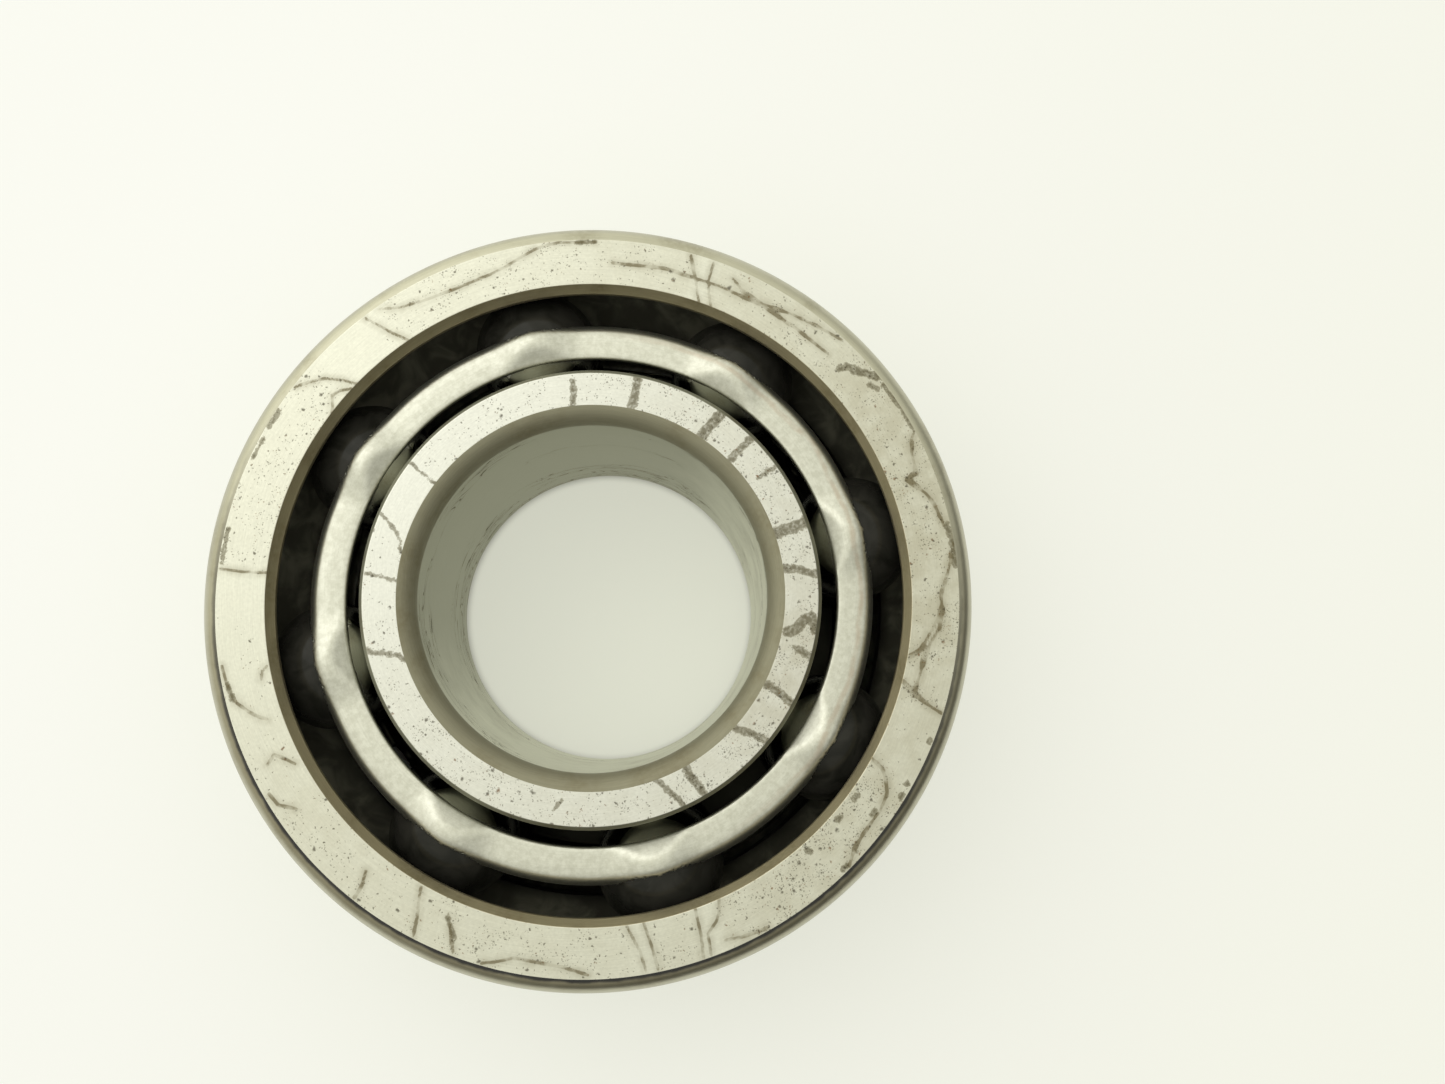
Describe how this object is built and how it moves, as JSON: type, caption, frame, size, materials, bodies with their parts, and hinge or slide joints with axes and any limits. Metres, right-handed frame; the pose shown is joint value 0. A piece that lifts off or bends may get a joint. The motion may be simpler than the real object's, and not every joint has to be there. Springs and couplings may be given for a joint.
{
  "type": "double-row angular contact ball bearing",
  "caption": "Open double-row angular contact ball bearing: ground steel rings, pressed steel cages and steel balls that roll between them.",
  "frame": {"origin": "centre of the bearing: on its axis, midway between the two faces", "axes": "+Z along the bearing axis, towards the face that the upper cage is next to; +X through the first ball of each row"},
  "size_m": [0.12, 0.12, 0.0492],
  "materials": {
    "outer_ring_steel": "ground bearing steel, oil-stained",
    "inner_ring_steel": "ground bearing steel, oil-stained",
    "cage_steel": "satin pressed sheet steel",
    "ball_steel": "polished, oiled"
  },
  "bodies": {
    "outer_ring": {"outer_ring": "outer_ring_steel"},
    "inner_ring": {"inner_ring": "inner_ring_steel"},
    "cage_upper": {"cage_upper": "cage_steel"},
    "cage_lower": {"cage_lower": "cage_steel"},
    "ball_upper_1": {"ball_upper_1": "ball_steel"},
    "ball_upper_2": {"ball_upper_2": "ball_steel"},
    "ball_upper_3": {"ball_upper_3": "ball_steel"},
    "ball_upper_4": {"ball_upper_4": "ball_steel"},
    "ball_upper_5": {"ball_upper_5": "ball_steel"},
    "ball_upper_6": {"ball_upper_6": "ball_steel"},
    "ball_upper_7": {"ball_upper_7": "ball_steel"},
    "ball_upper_8": {"ball_upper_8": "ball_steel"},
    "ball_lower_1": {"ball_lower_1": "ball_steel"},
    "ball_lower_2": {"ball_lower_2": "ball_steel"},
    "ball_lower_3": {"ball_lower_3": "ball_steel"},
    "ball_lower_4": {"ball_lower_4": "ball_steel"},
    "ball_lower_5": {"ball_lower_5": "ball_steel"},
    "ball_lower_6": {"ball_lower_6": "ball_steel"},
    "ball_lower_7": {"ball_lower_7": "ball_steel"},
    "ball_lower_8": {"ball_lower_8": "ball_steel"}
  },
  "joints": [
    {"name": "inner_ring_spin", "type": "hinge", "parent": "outer_ring", "child": "inner_ring", "pos_m": [0, 0, 0], "axis": [0, 0, 1], "continuous": true},
    {"name": "cage_upper_orbit", "type": "hinge", "parent": "outer_ring", "child": "cage_upper", "pos_m": [0, 0, 0], "axis": [0, 0, 1], "continuous": true},
    {"name": "cage_lower_orbit", "type": "hinge", "parent": "outer_ring", "child": "cage_lower", "pos_m": [0, 0, 0], "axis": [0, 0, 1], "continuous": true},
    {"name": "ball_upper_1_roll", "type": "hinge", "parent": "cage_upper", "child": "ball_upper_1", "pos_m": [0.04375, 0, 0.011], "axis": [0.5, 0, 0.866], "continuous": true},
    {"name": "ball_upper_2_roll", "type": "hinge", "parent": "cage_upper", "child": "ball_upper_2", "pos_m": [0.03094, 0.03094, 0.011], "axis": [0.3536, 0.3536, 0.866], "continuous": true},
    {"name": "ball_upper_3_roll", "type": "hinge", "parent": "cage_upper", "child": "ball_upper_3", "pos_m": [0, 0.04375, 0.011], "axis": [0, 0.5, 0.866], "continuous": true},
    {"name": "ball_upper_4_roll", "type": "hinge", "parent": "cage_upper", "child": "ball_upper_4", "pos_m": [-0.03094, 0.03094, 0.011], "axis": [-0.3536, 0.3536, 0.866], "continuous": true},
    {"name": "ball_upper_5_roll", "type": "hinge", "parent": "cage_upper", "child": "ball_upper_5", "pos_m": [-0.04375, 0, 0.011], "axis": [-0.5, 0, 0.866], "continuous": true},
    {"name": "ball_upper_6_roll", "type": "hinge", "parent": "cage_upper", "child": "ball_upper_6", "pos_m": [-0.03094, -0.03094, 0.011], "axis": [-0.3536, -0.3536, 0.866], "continuous": true},
    {"name": "ball_upper_7_roll", "type": "hinge", "parent": "cage_upper", "child": "ball_upper_7", "pos_m": [0, -0.04375, 0.011], "axis": [0, -0.5, 0.866], "continuous": true},
    {"name": "ball_upper_8_roll", "type": "hinge", "parent": "cage_upper", "child": "ball_upper_8", "pos_m": [0.03094, -0.03094, 0.011], "axis": [0.3536, -0.3536, 0.866], "continuous": true},
    {"name": "ball_lower_1_roll", "type": "hinge", "parent": "cage_lower", "child": "ball_lower_1", "pos_m": [0.04375, 0, -0.011], "axis": [-0.5, 0, 0.866], "continuous": true},
    {"name": "ball_lower_2_roll", "type": "hinge", "parent": "cage_lower", "child": "ball_lower_2", "pos_m": [0.03094, 0.03094, -0.011], "axis": [-0.3536, -0.3536, 0.866], "continuous": true},
    {"name": "ball_lower_3_roll", "type": "hinge", "parent": "cage_lower", "child": "ball_lower_3", "pos_m": [0, 0.04375, -0.011], "axis": [0, -0.5, 0.866], "continuous": true},
    {"name": "ball_lower_4_roll", "type": "hinge", "parent": "cage_lower", "child": "ball_lower_4", "pos_m": [-0.03094, 0.03094, -0.011], "axis": [0.3536, -0.3536, 0.866], "continuous": true},
    {"name": "ball_lower_5_roll", "type": "hinge", "parent": "cage_lower", "child": "ball_lower_5", "pos_m": [-0.04375, 0, -0.011], "axis": [0.5, 0, 0.866], "continuous": true},
    {"name": "ball_lower_6_roll", "type": "hinge", "parent": "cage_lower", "child": "ball_lower_6", "pos_m": [-0.03094, -0.03094, -0.011], "axis": [0.3536, 0.3536, 0.866], "continuous": true},
    {"name": "ball_lower_7_roll", "type": "hinge", "parent": "cage_lower", "child": "ball_lower_7", "pos_m": [0, -0.04375, -0.011], "axis": [0, 0.5, 0.866], "continuous": true},
    {"name": "ball_lower_8_roll", "type": "hinge", "parent": "cage_lower", "child": "ball_lower_8", "pos_m": [0.03094, -0.03094, -0.011], "axis": [-0.3536, 0.3536, 0.866], "continuous": true}
  ],
  "couplings": [
    {"joint": "cage_upper_orbit", "follows": "inner_ring_spin", "ratio": 0.3979},
    {"joint": "cage_lower_orbit", "follows": "inner_ring_spin", "ratio": 0.3979},
    {"joint": "ball_upper_1_roll", "follows": "inner_ring_spin", "ratio": -2.0314},
    {"joint": "ball_upper_2_roll", "follows": "inner_ring_spin", "ratio": -2.0314},
    {"joint": "ball_upper_3_roll", "follows": "inner_ring_spin", "ratio": -2.0314},
    {"joint": "ball_upper_4_roll", "follows": "inner_ring_spin", "ratio": -2.0314},
    {"joint": "ball_upper_5_roll", "follows": "inner_ring_spin", "ratio": -2.0314},
    {"joint": "ball_upper_6_roll", "follows": "inner_ring_spin", "ratio": -2.0314},
    {"joint": "ball_upper_7_roll", "follows": "inner_ring_spin", "ratio": -2.0314},
    {"joint": "ball_upper_8_roll", "follows": "inner_ring_spin", "ratio": -2.0314},
    {"joint": "ball_lower_1_roll", "follows": "inner_ring_spin", "ratio": -2.0314},
    {"joint": "ball_lower_2_roll", "follows": "inner_ring_spin", "ratio": -2.0314},
    {"joint": "ball_lower_3_roll", "follows": "inner_ring_spin", "ratio": -2.0314},
    {"joint": "ball_lower_4_roll", "follows": "inner_ring_spin", "ratio": -2.0314},
    {"joint": "ball_lower_5_roll", "follows": "inner_ring_spin", "ratio": -2.0314},
    {"joint": "ball_lower_6_roll", "follows": "inner_ring_spin", "ratio": -2.0314},
    {"joint": "ball_lower_7_roll", "follows": "inner_ring_spin", "ratio": -2.0314},
    {"joint": "ball_lower_8_roll", "follows": "inner_ring_spin", "ratio": -2.0314}
  ]
}
